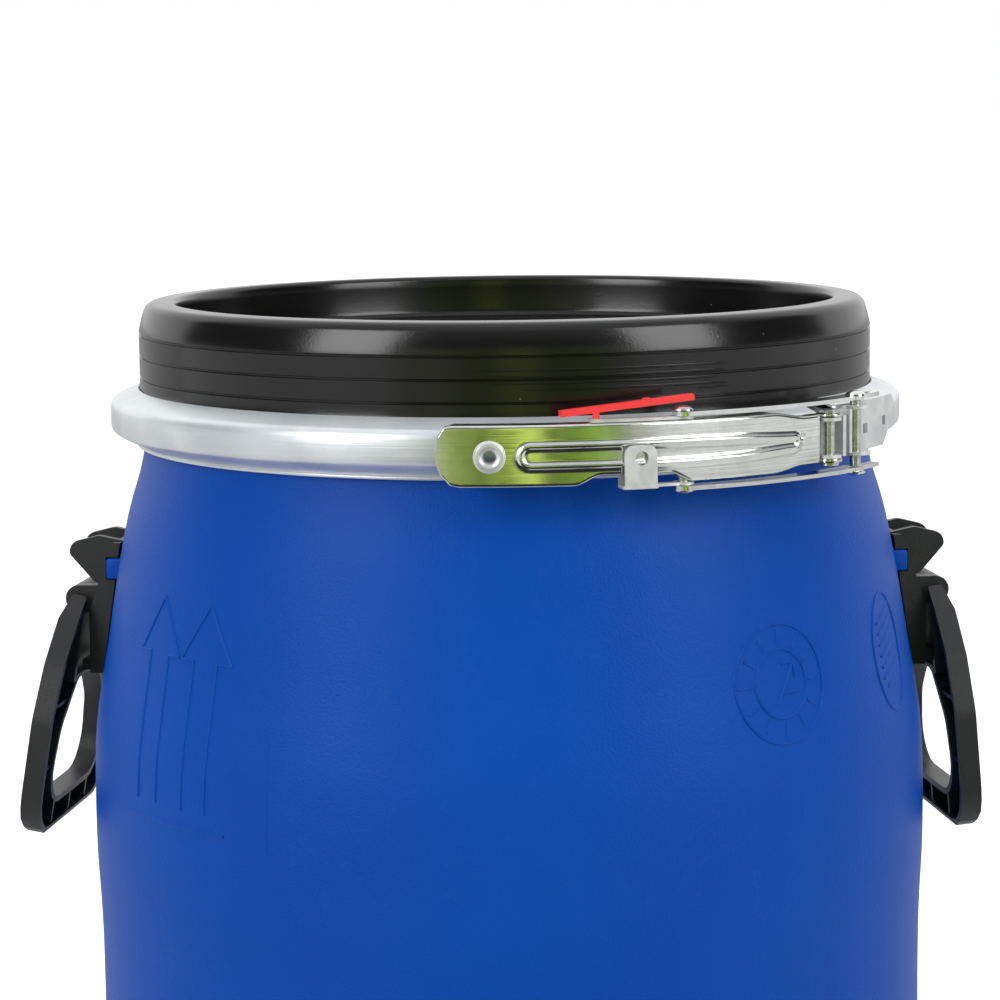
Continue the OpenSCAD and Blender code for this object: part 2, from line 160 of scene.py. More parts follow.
def sheet_spangle():
    """The clouded, drawn look of plated sheet. Puts out a tone, a height and a roughness mask."""
    group = bpy.data.node_groups.new("sheet_spangle", "ShaderNodeTree")
    socket(group, "Vector", "NodeSocketVector")
    socket(group, "Cloud Scale", "NodeSocketFloat", value=60.0)
    for name in ("Tone", "Height", "Smear"):
        socket(group, name, "NodeSocketFloat", into=False)
    start, end = add(group, "NodeGroupInput"), add(group, "NodeGroupOutput")
    cloud = add(group, "ShaderNodeTexNoise", in_Detail=4.0, in_Roughness=0.55, in_Distortion=0.6)
    group.links.new(start.outputs["Vector"], cloud.inputs["Vector"])
    group.links.new(start.outputs["Cloud Scale"], cloud.inputs["Scale"])
    stretched = add(group, "ShaderNodeMapping")
    stretched.inputs["Scale"].default_value = (18.0, 18.0, 900.0)
    group.links.new(start.outputs["Vector"], stretched.inputs["Vector"])
    drawn = add(group, "ShaderNodeTexNoise", in_Scale=1.0, in_Detail=3.0)
    group.links.new(stretched.outputs["Vector"], drawn.inputs["Vector"])
    group.links.new(cloud.outputs["Fac"], end.inputs["Tone"])
    group.links.new(drawn.outputs["Fac"], end.inputs["Height"])
    both = math_node(group, "ADD", math_node(group, "MULTIPLY", cloud.outputs["Fac"], 0.6),
                     math_node(group, "MULTIPLY", drawn.outputs["Fac"], 0.4))
    group.links.new(both, end.inputs["Smear"])
    return group


GRAIN, DUST, SPANGLE = moulded_grain(), dust_and_wear(), sheet_spangle()


def begin(name, base, roughness, metallic=0.0):
    """A new material, with its node tree, its shader and the object coordinates."""
    material = bpy.data.materials.new(name)
    material.use_nodes = True
    tree = material.node_tree
    shader = tree.nodes["Principled BSDF"]
    shader.inputs["Base Color"].default_value = (*base, 1)
    shader.inputs["Roughness"].default_value = roughness
    shader.inputs["Metallic"].default_value = metallic
    place = add(tree, "ShaderNodeTexCoord")
    return material, tree, shader, place.outputs["Object"]


def placed(tree, group, vector, **values):
    """A shared group set into a material, read at a vector."""
    node = add(tree, "ShaderNodeGroup", node_tree=group)
    tree.links.new(vector, node.inputs["Vector"])
    for key, value in values.items():
        node.inputs[key.replace("_", " ")].default_value = value
    return node


def tint(tree, shader, mask, low, high):
    """Base colour between two colours by a mask."""
    mix = add(tree, "ShaderNodeMix", data_type="RGBA")
    mix.inputs["A"].default_value = (*low, 1)
    mix.inputs["B"].default_value = (*high, 1)
    tree.links.new(mask, mix.inputs["Factor"])
    tree.links.new(mix.outputs["Result"], shader.inputs["Base Color"])
    return mix.outputs["Result"]


def rough_between(tree, shader, mask, low, high):
    """Roughness between two values by a mask."""
    spread = add(tree, "ShaderNodeMapRange")
    spread.inputs["To Min"].default_value = low
    spread.inputs["To Max"].default_value = high
    tree.links.new(mask, spread.inputs["Value"])
    tree.links.new(spread.outputs["Result"], shader.inputs["Roughness"])


def relief(tree, shader, height, distance, strength):
    """Fine surface relief from a height."""
    bump = add(tree, "ShaderNodeBump")
    bump.inputs["Strength"].default_value = strength
    bump.inputs["Distance"].default_value = distance
    tree.links.new(height, bump.inputs["Height"])
    tree.links.new(bump.outputs["Normal"], shader.inputs["Normal"])


def over(tree, shader, colour, mask, spot):
    """Lays a spot colour over a colour where a mask is set."""
    mix = add(tree, "ShaderNodeMix", data_type="RGBA")
    mix.inputs["B"].default_value = (*spot, 1)
    tree.links.new(colour, mix.inputs["A"])
    tree.links.new(mask, mix.inputs["Factor"])
    tree.links.new(mix.outputs["Result"], shader.inputs["Base Color"])


def plastic(name, base, roughness, grain, low, high, bump, wear=None, rough=None, stops=None):
    """A moulded plastic. Returns the material and its shader.

    grain is (grain scale, ripple scale, ripple share), and bump is (distance, strength).
    wear is (mask, speck scale, speck size, share, spot colour). rough is (lowest, highest).
    """
    material, tree, shader, here = begin(name, base, roughness)
    skin = placed(tree, GRAIN, here, Grain_Scale=grain[0], Ripple_Scale=grain[1], Ripple_Share=grain[2])
    mottle = skin.outputs["Mottle"]
    colour = tint(tree, shader, ramp(tree, mottle, stops) if stops else mottle, low, high)
    if wear:
        mask, scale, size, share, spot = wear
        worn = placed(tree, DUST, here, Speck_Scale=scale, Speck_Size=size)
        over(tree, shader, colour, math_node(tree, "MULTIPLY", worn.outputs[mask], share), spot)
    if rough:
        rough_between(tree, shader, mottle, *rough)
    relief(tree, shader, skin.outputs["Height"], *bump)
    return material, shader


def zinc(name, low, high, rough, cloud, depth, metallic=1.0):
    """Plated steel between two colours and two roughnesses, with clouds of a scale and a bump depth."""
    material, tree, shader, here = begin(name, high, rough[1], metallic)
    sheet = placed(tree, SPANGLE, here, Cloud_Scale=cloud)
    tone = ramp(tree, sheet.outputs["Tone"], [(0.35, 0.0), (0.65, 1.0)])
    colour = tint(tree, shader, tone, low, high)
    wear = placed(tree, DUST, here, Speck_Scale=260.0, Speck_Size=0.08)
    over(tree, shader, colour, math_node(tree, "MULTIPLY", wear.outputs["Specks"], 0.4), (0.25, 0.25, 0.24))
    rough_between(tree, shader, sheet.outputs["Smear"], *rough)
    relief(tree, shader, sheet.outputs["Height"], depth, 0.6)
    return material


DRUM_BLUE, blue_shader = plastic(
    "drum_blue", (0.0, 0.068, 0.4), 0.4, (900.0, 9.0, 0.8), (0.0, 0.063, 0.386), (0.0004, 0.072, 0.42), (0.0004, 0.55),
    wear=("Scratches", 90.0, 0.03, 0.04, (0.1, 0.2, 0.5)), rough=(0.36, 0.44), stops=[(0.3, 0.0), (0.7, 1.0)])
blue_shader.inputs["Specular IOR Level"].default_value = 0.12
LID_BLACK, _ = plastic(
    "lid_black", (0.004, 0.004, 0.004), 0.2, (700.0, 20.0, 0.4), (0.0028, 0.0027, 0.0027), (0.005, 0.0046, 0.0046),
    (0.00008, 0.4), wear=("Specks", 140.0, 0.055, 0.35, (0.3, 0.3, 0.3)), rough=(0.15, 0.24))
HANDLE_BLACK, _ = plastic(
    "handle_black", (0.02, 0.0195, 0.022), 0.45, (1300.0, 40.0, 0.3), (0.013, 0.0127, 0.0145), (0.025, 0.024, 0.027),
    (0.00025, 0.5), wear=("Specks", 220.0, 0.06, 0.2, (0.2, 0.2, 0.2)), rough=(0.32, 0.46))
GASKET, _ = plastic(
    "gasket_grey", (0.05, 0.05, 0.05), 0.8, (2200.0, 60.0, 0.2), (0.03, 0.03, 0.03), (0.07, 0.07, 0.07), (0.0004, 0.7))
SEAL_RED, red_shader = plastic(
    "seal_red", (0.95, 0.03, 0.035), 0.35, (1500.0, 90.0, 0.5), (0.9, 0.02, 0.028), (1.0, 0.06, 0.06), (0.0002, 0.5))
red_shader.inputs["Subsurface Weight"].default_value = 0.1
red_shader.inputs["Subsurface Radius"].default_value = (0.002, 0.0005, 0.0005)
RING_ZINC = zinc("ring_zinc", (0.66, 0.7, 0.73), (0.8, 0.83, 0.84), (0.28, 0.4), 22.0, 0.0002, 0.5)
BRACKET_ZINC = zinc("bracket_zinc", (0.66, 0.68, 0.68), (0.84, 0.85, 0.84), (0.24, 0.4), 90.0, 0.00008, 0.55)
LEVER_ZINC = zinc("lever_zinc", (0.72, 0.73, 0.68), (0.86, 0.87, 0.84), (0.07, 0.2), 70.0, 0.00005)
PIN_STEEL = zinc("pin_steel", (0.5, 0.51, 0.5), (0.72, 0.72, 0.7), (0.18, 0.36), 160.0, 0.00008)

# ------------------------------------------------------------------ building

AXIS = {"cent": (0, 0, 0), "axis": (0, 0, 1)}
SAME_PLACE = 1e-6


def line(*places):
    """Points of a straight-sided outline, each a (radius, height) in mm."""
    return [Vector(p) for p in places]


def about_axis(angle):
    """A turn about the drum's axis, in degrees."""
    return Matrix.Rotation(math.radians(angle), 3, "Z")


def smooth_line(stations, parts=6):
    """Points of a smooth curve through the stations, each a (radius, height) in mm."""
    points, last = [], len(stations) - 1
    for i in range(last):
        p = [Vector(stations[max(0, min(last, i + k))]) for k in (-1, 0, 1, 2)]
        m1, m2 = (p[2] - p[0]) / 2, (p[3] - p[1]) / 2
        for k in range(parts):
            t = k / parts
            points.append(p[1] * (2 * t**3 - 3 * t**2 + 1) + m1 * (t**3 - 2 * t**2 + t)
                          + p[2] * (3 * t**2 - 2 * t**3) + m2 * (t**3 - t**2))
    return points + [Vector(stations[last])]


def arc(centre, radius, first, last, parts=8):
    """Points of an arc, in mm, angles in degrees."""
    turn = [math.radians(first + (last - first) * k / parts) for k in range(parts + 1)]
    return [Vector((centre[0] + radius * math.cos(a), centre[1] + radius * math.sin(a))) for a in turn]


def finished(name, mesh, material, body, replaces=(), sharp=35):
    """A smooth-shaded piece from a bmesh, riding on its body."""
    data = bpy.data.meshes.new(name)
    mesh.to_mesh(data)
    mesh.free()
    piece = bpy.data.objects.new(name, data)
    scene.collection.objects.link(piece)
    data.materials.append(material)
    data.shade_smooth()
    data.set_sharp_from_angle(angle=math.radians(sharp))
    if body:
        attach(piece, body)
    if replaces:
        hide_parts(*replaces)
    return piece


def profile_edges(mesh, points, closed):
    """The vertices and edges of a profile, drawn in mm in the plane through the axis."""
    made = [mesh.verts.new((p[0] * MM, 0, p[1] * MM)) for p in points]
    edges = [mesh.edges.new(pair) for pair in zip(made, made[1:])]
    if closed:
        edges.append(mesh.edges.new((made[-1], made[0])))
    return made, edges


def turned(points, steps, closed=False):
    """A full turn of a profile about the drum's axis. Points on the axis close the shape."""
    mesh = bmesh.new()
    made, edges = profile_edges(mesh, points, closed)
    bmesh.ops.spin(mesh, geom=made + edges, angle=math.tau, steps=steps, use_merge=True, **AXIS)
    bmesh.ops.remove_doubles(mesh, verts=mesh.verts, dist=SAME_PLACE)
    bmesh.ops.recalc_face_normals(mesh, faces=mesh.faces)
    return mesh


def swept(points, first, last, steps):
    """A closed section swept from one angle to another, counted from the front, with closed ends."""
    mesh = bmesh.new()
    made, edges = profile_edges(mesh, points, True)
    face = bmesh.ops.contextual_create(mesh, geom=edges)["faces"]
    bmesh.ops.rotate(mesh, verts=made, cent=(0, 0, 0), matrix=about_axis(first - 90))
    bmesh.ops.spin(mesh, geom=made + edges + face, angle=math.radians(last - first), steps=steps, **AXIS)
    for f in face:
        if f.is_valid:
            f.normal_flip()
    bmesh.ops.remove_doubles(mesh, verts=mesh.verts, dist=SAME_PLACE)
    open_edges = [e for e in mesh.edges if e.is_boundary]
    if open_edges:
        bmesh.ops.holes_fill(mesh, edges=open_edges, sides=0)
    bmesh.ops.recalc_face_normals(mesh, faces=mesh.faces)
    return mesh


FLAT_ANGLE, BEVEL_ANGLE, SHARP_ANGLE = 0.6, 28, 30


def rolled(node, material, width):
    """A piece with the shape of a CAD node, its flat faces joined again and its edges rounded."""
    mesh = bmesh.new()
    mesh.from_mesh(nodes[node].data)
    bmesh.ops.remove_doubles(mesh, verts=mesh.verts, dist=2 * SAME_PLACE)
    bmesh.ops.dissolve_limit(mesh, angle_limit=math.radians(FLAT_ANGLE), verts=mesh.verts, edges=mesh.edges)
    piece = finished(node + "_piece", mesh, material, nodes[node]["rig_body"], [node], SHARP_ANGLE)
    bevel = piece.modifiers.new("rounded_edges", "BEVEL")
    bevel.width = width * MM
    bevel.segments = 2
    bevel.limit_method = "ANGLE"
    bevel.angle_limit = math.radians(BEVEL_ANGLE)
    weighted = piece.modifiers.new("even_shading", "WEIGHTED_NORMAL")
    weighted.keep_sharp = True


# ------------------------------------------------------------------ drum

NECK_R, WALL, BACK_TURN = 172.4, 3.5, 8
WALL_STATIONS = [(192, 15), (196.6, 45), (198, 90), (199.4, 140), (200, 180), (200, 215), (198.8, 250), (198.1, 290),
                 (198.2, 325), (198.8, 345), (199.9, 368), (200, 398), (198.8, 427), (195.6, 449), (192.2, 468),
                 (188.8, 489), (185.4, 508), (182, 525), (179, 536.5), (175, 549.5), (NECK_R, 561)]
outer_line = smooth_line(WALL_STATIONS)


def wall_radius(height):
    """Outer radius of the drum in mm at a height in mm."""
    for a, b in zip(outer_line, outer_line[1:]):
        if a.y <= height <= b.y:
            return a.x + (b.x - a.x) * (height - a.y) / max(1e-9, b.y - a.y)
    return NECK_R


drum_foot = (line((0, 0), (40, 0), (44.4, 0.3), (48.4, 4.7), (50, 5), (150, 5))
             + smooth_line([(150, 5), (154, 3.2), (158, 0.4), (160, 0)], 3) + line((168, 0))
             + arc((178, 14), 14, -90, 0, 10)[1:])
drum_mouth = line((172.4, 564.6), (172.8, 565.6), (183.8, 570.4), (184.5, 571.2), (184.6, 572), (184.6, 575.8),
                  (184.2, 576.4), (183.6, 576.6), (171.6, 576.6), (171, 577.4), (170.6, 580.2), (170.2, 580.6),
                  (168.6, 580.6), (168, 580), (167.6, 578), (167.6, 566))
drum_inside = ([p - Vector((WALL, 0)) for p in reversed(outer_line) if 20 < p.y < 556]
               + arc((176, 20), 12, 0, -80, 6) + line((158, 7.5), (152, 10), (0, 10)))
finished("drum_shell", turned(drum_foot + outer_line[1:] + drum_mouth + drum_inside, 288), DRUM_BLUE, "drum",
         ["drum_body"], 50)

LUG_SIZE, LUG_R, LUG_SIDE, LUG_Z = (10.4, 8, 10), 187.4, 21, 499.5


def lug_block(side):
    """The two moulded blocks that a handle bracket clips over."""
    mesh = bmesh.new()
    for end in (-1, 1):
        block = bmesh.ops.create_cube(mesh, size=1.0)["verts"]
        bmesh.ops.scale(mesh, verts=block, vec=[edge * MM for edge in LUG_SIZE])
        bmesh.ops.translate(mesh, verts=block, vec=(side * LUG_R * MM, end * LUG_SIDE * MM, LUG_Z * MM))
    bmesh.ops.bevel(mesh, geom=mesh.edges[:], offset=1.2 * MM, segments=3, profile=0.5, affect="EDGES", material=-1)
    bmesh.ops.rotate(mesh, verts=mesh.verts, cent=(0, 0, 0), matrix=about_axis(side * BACK_TURN))
    return mesh


for side, word in ((-1, "left"), (1, "right")):
    finished("bracket_lugs_" + word, lug_block(side), DRUM_BLUE, "drum")


def on_wall(mesh, middle, radius_at):
    """Wraps a flat drawing, made in (along, height) with its depth in Y, onto a round wall."""
    for v in mesh.verts:
        height = v.co.z / MM
        r = radius_at(height) + v.co.y / MM
        angle = math.radians(middle) + v.co.x / MM / radius_at(height)
        v.co = (r * math.sin(angle) * MM, -r * math.cos(angle) * MM, v.co.z)


def rib(mesh, points, width, rise, closed=False):
    """A raised line through flat points, drawn in mm, with sloping sides sunk into the wall."""
    half = width / 2
    places = [Vector(p) for p in points]
    count = len(places)
    pairs = list(zip(range(count), [(i + 1) % count for i in range(count)]))
    for a, b in pairs if closed else pairs[:-1]:
        start, end = places[a], places[b]
        way = end - start
        length = way.length
        way /= length
        across = Vector((-way.y, way.x))
        parts = max(1, round(length / 4))
        strips = bmesh.ops.create_grid(mesh, x_segments=parts, y_segments=3, size=0.5)["verts"]
        for v in strips:
            u, w = v.co.x + 0.5, v.co.y * 2
            flat = start + way * (u * (length + width * 0.6) - width * 0.3) + across * w * half
            v.co = (flat.x * MM, (rise if abs(w) < 0.5 else -0.25) * MM, flat.y * MM)


def oval(centre, wide, high, parts=48):
    """Points round an oval with two half widths."""
    turn = [math.tau * k / parts for k in range(parts)]
    return [centre + Vector((math.cos(a) * wide, math.sin(a) * high)) for a in turn]


def relief_piece(name, middle, draw, material=DRUM_BLUE, body="drum", radius_at=wall_radius):
    """A flat drawing in raised lines, laid on a round wall at an angle from the front."""
    mesh = bmesh.new()
    draw(mesh)
    on_wall(mesh, middle, radius_at)
    bmesh.ops.solidify(mesh, geom=mesh.faces[:], thickness=0.0004)
    bmesh.ops.recalc_face_normals(mesh, faces=mesh.faces)
    return finished(name, mesh, material, body, (), 60)


def up_arrows(mesh):
    """Two arrows over a bar."""
    for x in (-18, 18):
        outline = [(x - 8, 412), (x - 8, 478), (x - 17, 478), (x, 503), (x + 17, 478), (x + 8, 478), (x + 8, 412)]
        rib(mesh, outline, 1.3, 0.5)
    rib(mesh, [(-38, 404), (38, 404)], 1.5, 0.5)


def date_clock(mesh):
    """Two rings with ticks between them and a pointer inside."""
    centre = Vector((0, 468.5))
    for radius in (26, 15):
        rib(mesh, oval(centre, radius, radius), 1.2, 0.5, closed=True)
    for k in range(12):
        way = Vector((math.cos(math.tau * k / 12), math.sin(math.tau * k / 12)))
        rib(mesh, [centre + way * 17.5, centre + way * (22.5 if k % 3 else 24)], 1.4, 0.45)
    for places, width, rise in ((((-3, -8), (8, 9)), 1.2, 0.5), (((1.5, 8.5), (8, 9), (8.5, 2.5)), 1.2, 0.5),
                                (((0, -4), (10, -4)), 1.1, 0.45)):
        rib(mesh, [centre + p for p in line(*places)], width, rise)


def oval_stamp(mesh):
    """An oval with slanting bars."""
    centre = Vector((0, 470))
    rib(mesh, oval(centre, 17, 27), 1.2, 0.5, closed=True)
    for k in range(6):
        y = 16 - 5 * k
        rib(mesh, [centre + Vector((-9, y - 2)), centre + Vector((9, y + 5))], 1.6, 0.45)
    rib(mesh, [centre + Vector((-6, -15)), centre + Vector((6, -11))], 1.2, 0.45)


relief_piece("up_arrows", -50, up_arrows)
relief_piece("date_clock", 38.5, date_clock)
relief_piece("oval_stamp", 65.5, oval_stamp)
relief_piece("mould_line", -32, lambda mesh: rib(mesh, [(0, 398), (0, 447)], 0.8, 0.2))

# ------------------------------------------------------------------ lid

LID_R = 174.0
lid_top = (line((0, 609), (60, 609), (120, 609), (151.6, 609)) + arc((151.6, 613), 4, -90, 0, 6)[1:]
           + line((156.2, 624.5)) + arc((158.9, 627.3), 2.7, 170, 90, 6) + line((163, 630), (165.6, 629.8))
           + arc((166.4, 624.4), 5.4, 80, 18, 6) + line((172.9, 621.4), (LID_R, 616.6)))
lid_side = []
for groove in (615.4, 605.4, 595.4):
    lid_side += line((LID_R, groove + 0.8), (173.4, groove + 0.5), (173.35, groove - 0.2), (LID_R, groove - 0.5))
lid_flange = line((LID_R, 588.6), (174.5, 587), (183.8, 583.2), (184.5, 582.4), (184.6, 581.4), (184.3, 580),
                  (183.8, 579.8), (174.8, 579.8), (174.8, 577.4), (173.4, 576.9), (172, 577.4), (172, 581.2),
                  (167.4, 581.2), (167.2, 574), (164.2, 571), (163.6, 571), (163.6, 584), (170.8, 588), (171, 614))
lid_under = (arc((165, 622), 5, 40, 90, 5) + arc((162.2, 624.4), 2.6, 90, 175, 5)
             + arc((151.6, 613), 7, 0, -90, 5) + line((0, 606)))
finished("lid_moulding", turned(lid_top + lid_side + lid_flange + lid_under, 288), LID_BLACK, "lid",
         ["lid"], 40)
gasket_section = line((175.6, 576.7), (175.3, 577.1), (175.3, 579.4), (175.6, 579.7), (182.2, 579.7), (182.5, 579.4),
                      (182.5, 577.1), (182.2, 576.7))
finished("gasket_ring", turned(gasket_section, 192, True), GASKET, "lid", ["lid_gasket"])


def ridge_panel(mesh):
    """Fine moulded ridges on the lid's side, over a short arc."""
    for first, last, width, rise in (((-58, 609.6), (60, 609.6), 1.1, 0.45), ((-52, 606.9), (57, 606.9), 1.1, 0.45),
                                     ((-50, 604.0), (52, 604.0), 1.1, 0.45), ((-36, 601.4), (57, 601.4), 1.1, 0.45),
                                     ((44, 599.4), (60, 599.8), 0.9, 0.35), ((-62, 591.2), (-24, 591.2), 0.8, 0.25),
                                     ((6, 592.2), (60, 592.2), 0.8, 0.25)):
        rib(mesh, [first, last], width, rise)


relief_piece("lid_ridges", 14.5, ridge_panel, LID_BLACK, "lid", lambda height: LID_R)

# ------------------------------------------------------------------ clamp ring

ring_outside = line((180, 587.6), (184.6, 585.9), (186.4, 584.9), (187.5, 583.5), (188, 581.6), (188, 577.4),
                    (188, 573.2), (187.5, 571.2), (186.2, 569.9), (184, 568.7), (179, 566.2))
ring_inside = line((174.6, 564.3), (179, 567.2), (184.6, 570.2), (186.3, 571.7), (186.8, 573.4), (186.8, 581.4),
                   (186.2, 583.3), (184.4, 584.8), (179.4, 586.7), (175.3, 588.1))
ring_section = (arc((175.1, 589.0), 0.85, 200, 70, 6) + ring_outside
                + arc((174.8, 563.6), 0.95, 60, -110, 7) + ring_inside)
finished("clamp_ring_left", swept(ring_section, -180, 47.5, 200), RING_ZINC, "ring_left",
         ["clamp_band"], 45)
ring_right = finished("clamp_ring_right", swept(ring_section, 53, 180, 120), RING_ZINC, None, (), 45)
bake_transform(ring_right)

# ------------------------------------------------------------------ lever

# heights and radii in mm, angles in degrees from the front
LOCK_Z, LEVER_R, BACK_R, HALF, NECK = 575.3, 196.5, 187.4, 13.3, 10.7
FREE_END, SPAN, MIDDLE = -8.8, 53.1, 18.0
RIVET_ANGLE, RIVET_RISE, RIVET_HOLE = -2, 0.2, 3.9
FOLD_ROUND, SHEET, EAR_THICK = 1.4, 0.0013, 1.5


def at(angle, radius, height):
    """A place in metres, from an angle counted from the front and a radius and height in mm."""
    a = math.radians(angle)
    return Vector((radius * math.sin(a), -radius * math.cos(a), height)) * MM


def along(angle):
    """Distance in mm along the lever from its middle, as seen square on."""
    return LEVER_R * math.sin(math.radians(angle - MIDDLE))


def between(value, points):
    """Height at a place on a line of (place, height) points."""
    for (a, ha), (b, hb) in zip(points, points[1:]):
        if value <= b:
            t = max(0.0, min(1.0, (value - a) / (b - a)))
            return ha + (hb - ha) * t * t * (3 - 2 * t)
    return points[-1][1]


TOP_EDGE = [(-88.6, 1.5), (-87.2, 9.5), (-84.8, 12.8), (-82, HALF), (60, HALF), (80, NECK)]
LOW_EDGE = [(-88.6, 1.5), (-87.6, -5.5), (-85.6, -9.6), (-82.4, -12.6), (-79, -HALF), (-33, -HALF), (-20.5, -9.1),
            (9.5, -9.1), (21, -HALF), (60, -HALF), (80, -NECK)]
TOP_FOLD = [(-87, 0.1), (-81, 1), (62, 1), (74, 0.15)]
LOW_FOLD = [(-86, 0.1), (-77, 1), (-34, 1), (-27, 0.1), (16, 0.1), (23, 1), (62, 1), (74, 0.15)]


def bead(u, h):
    """Height of the long pressed bead, a ridge round a slot shape."""
    half = between(u, [(20, 4.3), (40, 3.9), (74, 2.4)])
    d = math.hypot(max(0.0, -50.5 - u, u - 72), h) - half
    spot = math.hypot(u - 76.5, h - 1.5)
    return 1.05 * math.exp(-(d / 1.25) ** 2) - 0.7 * math.exp(-(spot / 0.8) ** 2)


def lever_plate():
    """A pressed channel: a curved face with its long edges folded in, from one grid."""
    mesh = bmesh.new()
    columns, face_rows, fold_rows, back_rows = 260, 44, 4, 7
    rows = face_rows + 2 * (fold_rows + back_rows)
    grid = bmesh.ops.create_grid(mesh, x_segments=columns, y_segments=rows, size=0.5)["verts"]
    for v in grid:
        angle = FREE_END + (v.co.x + 0.5) * SPAN
        row = round((v.co.y + 0.5) * rows)
        u = along(angle)
        low, high = between(u, LOW_EDGE), between(u, TOP_EDGE)
        round_in = min(FOLD_ROUND, (high - low) * 0.3)
        if back_rows + fold_rows <= row <= rows - back_rows - fold_rows:
            t = (row - back_rows - fold_rows) / face_rows
            h = low + round_in + (high - low - 2 * round_in) * t
            r = LEVER_R + bead(u, h)
        else:
            upper = row > rows / 2
            k = rows - row if upper else row
            reach = between(u, TOP_FOLD if upper else LOW_FOLD)
            edge, sign = (high, 1) if upper else (low, -1)
            if k >= back_rows:
                turn = math.radians(90 * (1 - (k - back_rows) / fold_rows))
                h = edge - sign * round_in * (1 - math.sin(turn))
                r = LEVER_R - round_in * (1 - math.cos(turn))
            else:
                h = edge
                r = LEVER_R - round_in - (LEVER_R - round_in - BACK_R) * reach * (1 - k / back_rows)
        v.co = at(angle, r, LOCK_Z + h)
    hole = at(RIVET_ANGLE, LEVER_R, LOCK_Z + RIVET_RISE)
    gone = []
    for f in mesh.faces:
        c = f.calc_center_median()
        r, angle = math.hypot(c.x, c.y) / MM, math.degrees(math.atan2(c.x, -c.y))
        slot = c.z > (LOCK_Z + HALF - 0.2) * MM and 13.6 < angle < 19.8 and 190.3 < r < 193.6
        if (c - hole).length < RIVET_HOLE * MM or slot:
            gone.append(f)
    bmesh.ops.delete(mesh, geom=gone, context="FACES")
    bmesh.ops.recalc_face_normals(mesh, faces=mesh.faces)
    bmesh.ops.solidify(mesh, geom=mesh.faces[:], thickness=SHEET)
    bmesh.ops.recalc_face_normals(mesh, faces=mesh.faces)
    return mesh


def disc(mesh, place, radius, thick, steps=40):
    """A flat round plate standing on a place, with a softened rim."""
    made = bmesh.ops.create_circle(mesh, cap_ends=True, segments=steps, radius=radius * MM)["verts"]
    face = made[0].link_faces[0]
    grown = bmesh.ops.extrude_face_region(mesh, geom=[face])["geom"]
    lifted = [g for g in grown if isinstance(g, bmesh.types.BMVert)]
    bmesh.ops.translate(mesh, verts=lifted, vec=(0, 0, thick * MM))
    piece = made + lifted
    rims = {e for v in piece for e in v.link_edges if abs(e.verts[0].co.z - e.verts[1].co.z) < 1e-7}
    bmesh.ops.bevel(mesh, geom=list(rims), offset=0.22 * MM, segments=2, profile=0.5, affect="EDGES", material=-1)
    linked = {v for v in mesh.verts if v.is_valid and v.co.length < (radius + thick + 1) * MM}
    bmesh.ops.translate(mesh, verts=list(linked), vec=place)


finished("lever_plate", lever_plate(), LEVER_ZINC, "lever", ["lever"], 50)
for word, z in (("lower", LOCK_Z - NECK), ("upper", LOCK_Z + NECK - EAR_THICK)):
    ear = bmesh.new()
    disc(ear, at(46.4, 196, z), 5.8, EAR_THICK)
    finished("lever_ear_" + word, ear, LEVER_ZINC, "lever", (), 40)
    strip = line((191.6, z + 0.3), (191.9, z), (196, z), (196.3, z + 0.3), (196.3, z + 1.2), (196, z + EAR_THICK),
                 (191.9, z + EAR_THICK), (191.6, z + 1.2))
    finished("lever_neck_" + word, swept(strip, 37, 45.6, 16), LEVER_ZINC, "lever", (), 40)

# ------------------------------------------------------------------ lock and handles

for names, material, width, slot in (
        (("hinge_bracket", "draw_bracket"), BRACKET_ZINC, 0.25, "bracket_zinc"),
        (("link_upper", "link_lower"), LEVER_ZINC, 0.35, "lever_zinc"),
        (("safety_catch",), BRACKET_ZINC, 0.25, "bracket_zinc"),
        (("end_rivet",), BRACKET_ZINC, 0.15, "bracket_zinc"),
        (("tamper_seal",), SEAL_RED, 0.5, "seal_plastic"),
        (("lever_pin", "link_rivet_upper", "link_rivet_lower", "draw_pin"), PIN_STEEL, 0.2, "pin_steel")):
    for name in names:
        rolled(name, material, width)
for word in ("left", "right"):
    rolled("handle_" + word, HANDLE_BLACK, 0.8)
    rolled("handle_bracket_" + word, HANDLE_BLACK, 0.5)

# ------------------------------------------------------------------ studio


FLOOR_HALF, FLOOR_DROP = 45.0, 0.0002


def floor():
    """A wide sheet of pale paper, brighter to the camera than to the light it sends back."""
    mesh = bmesh.new()
    bmesh.ops.create_grid(mesh, x_segments=8, y_segments=8, size=FLOOR_HALF)
    bmesh.ops.translate(mesh, verts=mesh.verts, vec=(0, 0, -FLOOR_DROP))
    material, tree, shader, _ = begin("floor_paper", (0.95, 0.95, 0.95), 0.9)
    seen = add(tree, "ShaderNodeLightPath").outputs["Is Camera Ray"]
    tint(tree, shader, seen, (0.5, 0.5, 0.5), (0.96, 0.96, 0.96))
    lift = add(tree, "ShaderNodeMix", data_type="RGBA")
    lift.inputs["A"].default_value, lift.inputs["B"].default_value = (0, 0, 0, 1), (0.3, 0.3, 0.3, 1)
    tree.links.new(seen, lift.inputs["Factor"])
    tree.links.new(lift.outputs["Result"], shader.inputs["Emission Color"])
    shader.inputs["Emission Strength"].default_value = 1.0
    finished("studio_floor", mesh, material, None)


def unseen(piece, dims):
    """Shows in reflections only, or also dims the soft light, and casts no shadow."""
    piece.visible_camera = piece.visible_shadow = False
    piece.visible_diffuse = dims
    piece.visible_transmission = piece.visible_volume_scatter = False


